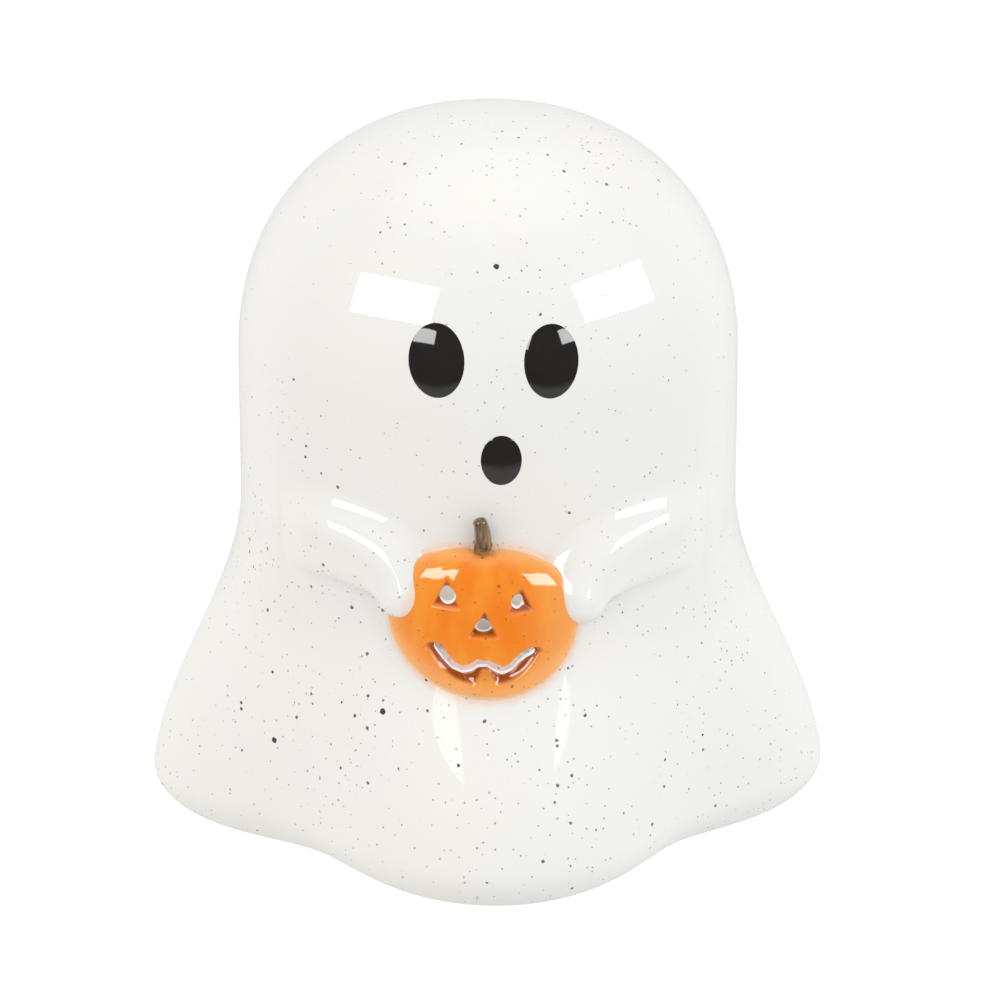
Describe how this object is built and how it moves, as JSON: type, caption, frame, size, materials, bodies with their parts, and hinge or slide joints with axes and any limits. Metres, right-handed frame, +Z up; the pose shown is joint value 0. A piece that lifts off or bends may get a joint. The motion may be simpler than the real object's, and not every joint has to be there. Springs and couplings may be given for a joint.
{
  "type": "ceramic ghost figure",
  "caption": "Glazed ceramic ghost holding a pierced jack-o'-lantern, hollow, with a removable battery lamp unit in its base.",
  "frame": {"origin": "middle of the foot on the surface that the ghost stands on, under the middle of its outline", "axes": "+Z up; the face and the pumpkin look along -Y; +X is to the right of someone who faces the ghost"},
  "size_m": [0.1429, 0.1298, 0.155],
  "materials": {
    "white_glaze": "gloss",
    "orange_glaze": "gloss",
    "brown_glaze": "gloss",
    "black_enamel": "gloss",
    "seal_rubber": "satin",
    "case_plastic": "satin",
    "lens_plastic": "satin",
    "led_epoxy": "gloss",
    "board_laminate": "satin",
    "resistor_coat": "satin",
    "switch_plastic": "satin",
    "cell_jacket": "gloss",
    "contact_steel": "satin",
    "lead_red": "satin",
    "lead_black": "satin",
    "lead_white": "satin",
    "screw_steel": "satin"
  },
  "bodies": {
    "ghost": {"ghost_shell": "white_glaze", "left_arm": "white_glaze", "right_arm": "white_glaze", "pumpkin": "orange_glaze", "pumpkin_stem": "brown_glaze", "left_eye": "black_enamel", "right_eye": "black_enamel", "mouth": "black_enamel", "sealing_ring": "seal_rubber"},
    "light_unit": {"base_cover": "case_plastic", "case_top": "case_plastic", "lamp_lens": "lens_plastic", "led": "led_epoxy", "circuit_board": "board_laminate", "resistor": "resistor_coat", "switch_body": "switch_plastic", "bridge_plate": "contact_steel", "bridge_spring": "contact_steel", "positive_plate": "contact_steel", "negative_plate": "contact_steel", "negative_spring": "contact_steel", "positive_lead": "lead_red", "negative_lead": "lead_black", "switch_lead": "lead_white", "case_screws": "screw_steel"},
    "switch_knob": {"switch_knob": "switch_plastic"},
    "battery_door": {"battery_door": "case_plastic", "door_screw": "screw_steel"},
    "battery_1": {"battery_1": "cell_jacket"},
    "battery_2": {"battery_2": "cell_jacket"}
  },
  "joints": [
    {"name": "light_unit_slide", "type": "slide", "parent": "ghost", "child": "light_unit", "axis": [0, 0, -1], "range_m": [0, 0.04]},
    {"name": "switch_slide", "type": "slide", "parent": "light_unit", "child": "switch_knob", "axis": [1, 0, 0], "range_m": [0, 0.003]},
    {"name": "battery_door_slide", "type": "slide", "parent": "light_unit", "child": "battery_door", "axis": [0, 0, -1], "range_m": [0, 0.03]},
    {"name": "battery_1_slide", "type": "slide", "parent": "light_unit", "child": "battery_1", "axis": [0, 0, -1], "range_m": [0, 0.018]},
    {"name": "battery_2_slide", "type": "slide", "parent": "light_unit", "child": "battery_2", "axis": [0, 0, -1], "range_m": [0, 0.018]}
  ],
  "couplings": [
    {"joint": "battery_1_slide", "follows": "battery_door_slide", "ratio": 0.6},
    {"joint": "battery_2_slide", "follows": "battery_door_slide", "ratio": 0.6}
  ]
}
